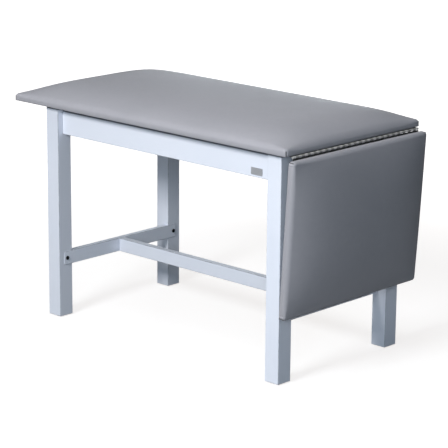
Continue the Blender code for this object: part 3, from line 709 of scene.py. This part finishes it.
# ---------------------------------------------------------------- floor, lights, camera
FLOOR_REACH = 30
FLOOR_DROP = 0.0002           # below the glides' faces, so that the two never share a plane
FLOOR_COLOURS = (0.33, 0.358, 0.385), (0.34, 0.368, 0.395)
FLOOR_DIM = (0.26, 0.26, 0.26)    # as light from it falls on the table
GLOW_COLOUR = (1.0, 0.966, 0.942)
GLOW_REACH = (0.9, 2.6)       # from the table's middle, where the floor fades into white
GLOW_STRENGTH = (0.80, 1.1)   # at those distances
FILL_COLOUR = (0.75, 0.885, 1.0)
FILL_STRENGTH = (0.02, 0.24)  # of the surroundings, at their darkest and brightest
FILL_SPREAD = (-0.8, 0.9)     # cosines, times the length of BRIGHT_SIDE, that these belong to
BRIGHT_SIDE = (-0.35, -0.80, 0.45)    # the surroundings are brightest this way
WHITE_STRENGTH = 1.05         # of the backdrop, as the camera sees it
SOFTBOXES = (                 # name, place, target, size, watts, colour
    ("front_lamp", (0.50, -4.3, 2.95), (0, 0, 0.4), (1.25, 0.9), 172, (1.0, 0.985, 0.955)),
    ("overhead_softbox", (-0.1, -0.6, 3.3), (0, 0, 0.5), (2.0, 1.6), 28, (1.0, 0.985, 0.97)),
    ("rear_softbox", (-3.0, 3.6, 0.9), (0, 0, 0.4), (1.4, 0.9), 16, (0.86, 0.94, 1.0)),
    ("side_softbox", (2.8, -3.3, 1.6), (0.2, 0, 0.35), (1.4, 1.2), 58, (0.80, 0.91, 1.0)),
)
CAMERA_PLACE = (4.1882, -4.4005, 1.944)
CAMERA_AZIMUTH, CAMERA_ELEVATION, CAMERA_ROLL = radians(43.37), radians(14.74), radians(0.48)
CAMERA_LENS, CAMERA_SENSOR = 159.9, 36


def add_floor():
    """A plain pale floor that runs out of view and fades into the white backdrop."""
    shape = bmesh.new()
    bmesh.ops.create_grid(shape, x_segments=1, y_segments=1, size=FLOOR_REACH)
    floor = as_object("floor", shape)
    floor.location = (0, 0, -FLOOR_DROP)
    look = Shader("pale_floor")
    colour = look.mix(look.span(look.noise(6.0, 3.0), 0.3, 0.7), *FLOOR_COLOURS)
    look.finish(Base_Color=colour, Roughness=0.9, Specular_IOR_Level=0.1)
    away = look.node("ShaderNodeVectorMath", operation="LENGTH")
    look.feed(away.inputs[0], look.place())
    glow = look.node("ShaderNodeEmission")
    look.feed(glow.inputs["Color"], GLOW_COLOUR)
    look.feed(glow.inputs["Strength"],
              look.span(away.outputs["Value"], *GLOW_REACH, *GLOW_STRENGTH, smooth=True))
    shown = look.node("ShaderNodeAddShader")
    look.feed(shown.inputs[0], look.surface.outputs[0])
    look.feed(shown.inputs[1], glow.outputs[0])
    dim = look.node("ShaderNodeBsdfDiffuse")
    look.feed(dim.inputs["Color"], FLOOR_DIM)
    look.feed(look.tree.nodes["Material Output"].inputs["Surface"],
              look.for_camera(dim.outputs[0], shown.outputs[0]))
    wear(floor, look.material)


def add_softbox(name, place, target, size, watts, colour):
    """A rectangular area light that faces a point."""
    light = bpy.data.lights.new(name, "AREA")
    light.shape = "RECTANGLE"
    light.size, light.size_y = size
    light.energy = watts
    light.color = colour
    lamp = bpy.data.objects.new(name, light)
    lamp.location = place
    lamp.rotation_euler = (Vector(place) - Vector(target)).to_track_quat("Z", "Y").to_euler()
    bpy.context.scene.collection.objects.link(lamp)


def add_lights():
    """White surroundings for the eye, dim cool fill all round, a lamp in front and three softboxes."""
    world = bpy.data.worlds.new("studio")
    bpy.context.scene.world = world
    world.use_nodes = True
    look = Nodes(world.node_tree)
    fill = look.tree.nodes["Background"]
    look.feed(fill.inputs["Color"], FILL_COLOUR)
    towards = look.node("ShaderNodeVectorMath", operation="DOT_PRODUCT")
    look.feed(towards.inputs[0], look.node("ShaderNodeTexCoord").outputs["Generated"])
    look.feed(towards.inputs[1], BRIGHT_SIDE)
    look.feed(fill.inputs["Strength"], look.span(towards.outputs["Value"], *FILL_SPREAD, *FILL_STRENGTH))
    white = look.node("ShaderNodeBackground")
    look.feed(white.inputs["Color"], (1, 1, 1))
    look.feed(white.inputs["Strength"], WHITE_STRENGTH)
    look.feed(look.tree.nodes["World Output"].inputs["Surface"],
              look.for_camera(fill.outputs[0], white.outputs[0]))
    for softbox in SOFTBOXES:
        add_softbox(*softbox)


def add_camera():
    """The three-quarter view from the leaf's end, slightly above the top."""
    flat = cos(CAMERA_ELEVATION)
    back = Vector((sin(CAMERA_AZIMUTH) * flat, -cos(CAMERA_AZIMUTH) * flat, sin(CAMERA_ELEVATION)))
    right = Vector((cos(CAMERA_AZIMUTH), sin(CAMERA_AZIMUTH), 0))
    up = back.cross(right)
    across = right * cos(CAMERA_ROLL) + up * sin(CAMERA_ROLL)
    upward = up * cos(CAMERA_ROLL) - right * sin(CAMERA_ROLL)
    camera = bpy.data.cameras.new("camera")
    camera.sensor_width = CAMERA_SENSOR
    camera.lens = CAMERA_LENS
    eye = bpy.data.objects.new("camera", camera)
    turn = Matrix((across, upward, back)).transposed().to_4x4()
    eye.matrix_world = Matrix.Translation(CAMERA_PLACE) @ turn
    bpy.context.scene.collection.objects.link(eye)
    bpy.context.scene.camera = eye


# ---------------------------------------------------------------- the scene
bpy.context.scene.view_settings.view_transform = "Standard"
dress_frame()
make_covers()
add_floor()
add_lights()
add_camera()
